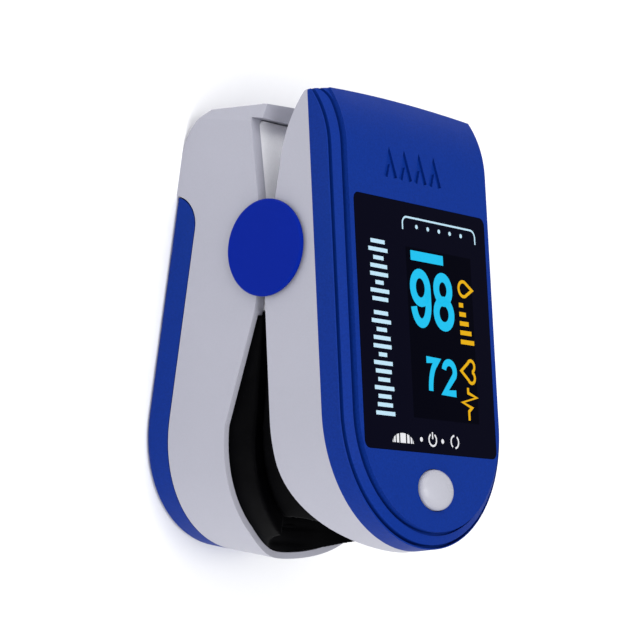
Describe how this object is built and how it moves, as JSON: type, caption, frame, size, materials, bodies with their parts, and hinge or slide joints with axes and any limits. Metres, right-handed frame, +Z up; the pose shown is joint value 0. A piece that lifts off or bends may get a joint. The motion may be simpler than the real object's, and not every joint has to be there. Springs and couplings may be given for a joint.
{
  "type": "fingertip pulse oximeter",
  "caption": "Clip-on fingertip pulse oximeter: sprung hinged jaws with silicone finger pads, a battery base with a sliding door and a display head with a push button.",
  "frame": {"origin": "on the resting surface, under the middle of the whole object's bounding box", "axes": "+Z up from the battery door, +Y towards the end that is pinched, -Y towards the finger's mouth, X across along the hinge"},
  "size_m": [0.035, 0.0618, 0.0374],
  "materials": {
    "blue_plastic": "moulded, fine grain, satin",
    "blue_cap_plastic": "moulded, smooth satin",
    "white_plastic": "moulded, fine grain, satin",
    "tray_plastic": "moulded, satin",
    "button_plastic": "moulded, smooth",
    "window_plastic": "tinted, polished, back printed",
    "silicone": "moulded, matt",
    "clear_lens": "clear, polished",
    "cell_sleeve": "printed sleeve with bare ends",
    "spring_steel": "drawn wire and nickel-plated strip",
    "screw_steel": "zinc plated",
    "circuit_board": "solder mask over copper",
    "chip_resin": "moulded epoxy",
    "ceramic_parts": "fired ceramic with tinned ends",
    "ribbon_film": "polyimide film over copper",
    "display_glass": "coated display glass",
    "tape": "black adhesive tape",
    "holder_plastic": "moulded, matt"
  },
  "bodies": {
    "battery_half": {"lower_shell": "white_plastic", "battery_tray": "tray_plastic", "lower_pad": "silicone", "tray_screws": "screw_steel", "hinge_cover": "tray_plastic", "sensor_board": "circuit_board", "photodiode": "chip_resin", "photodiode_lens": "clear_lens", "left_cell": "cell_sleeve", "right_cell": "cell_sleeve", "bridge_contact": "spring_steel", "negative_contact": "spring_steel", "positive_contact": "spring_steel", "mouth_end_spring": "spring_steel", "pinch_end_spring": "spring_steel", "hinge_ribbon": "ribbon_film", "hinge_pin_left": "spring_steel", "hinge_pin_right": "spring_steel", "hinge_cap_left": "blue_cap_plastic", "hinge_cap_right": "blue_cap_plastic", "torsion_spring_left": "spring_steel", "torsion_spring_right": "spring_steel"},
    "display_half": {"upper_shell": "white_plastic", "upper_cover": "blue_plastic", "display_window": "window_plastic", "window_tape": "tape", "display_glass": "display_glass", "display_holder": "holder_plastic", "display_flex": "ribbon_film", "main_board": "circuit_board", "microcontroller": "chip_resin", "signal_amplifier": "chip_resin", "display_driver_supply": "chip_resin", "crystal": "screw_steel", "chip_parts": "ceramic_parts", "inductor": "chip_resin", "flex_connector": "holder_plastic", "switch_body": "chip_resin", "emitter_board": "circuit_board", "emitter_leds": "ceramic_parts", "emitter_lens": "clear_lens", "upper_pad": "silicone", "cover_screws": "screw_steel"},
    "button": {"power_button": "button_plastic", "switch_plunger": "holder_plastic"},
    "door": {"battery_door": "blue_plastic"}
  },
  "joints": [
    {"name": "jaw_hinge", "type": "hinge", "parent": "battery_half", "child": "display_half", "pos_m": [0, 0.00927, 0.01716], "axis": [-1, 0, 0], "range_deg": [0, 16], "stiffness_Nm_per_rad": 0.12, "springref_deg": -28.65, "deforming": ["torsion_spring_left", "torsion_spring_right", "hinge_ribbon"]},
    {"name": "button_press", "type": "slide", "parent": "display_half", "child": "button", "axis": [0, -0.2278, -0.9737], "range_m": [0, 0.00035], "stiffness_N_per_m": 400, "springref_m": -0.0025},
    {"name": "door_slide", "type": "slide", "parent": "battery_half", "child": "door", "axis": [0, -1, 0], "range_m": [0, 0.05]}
  ]
}
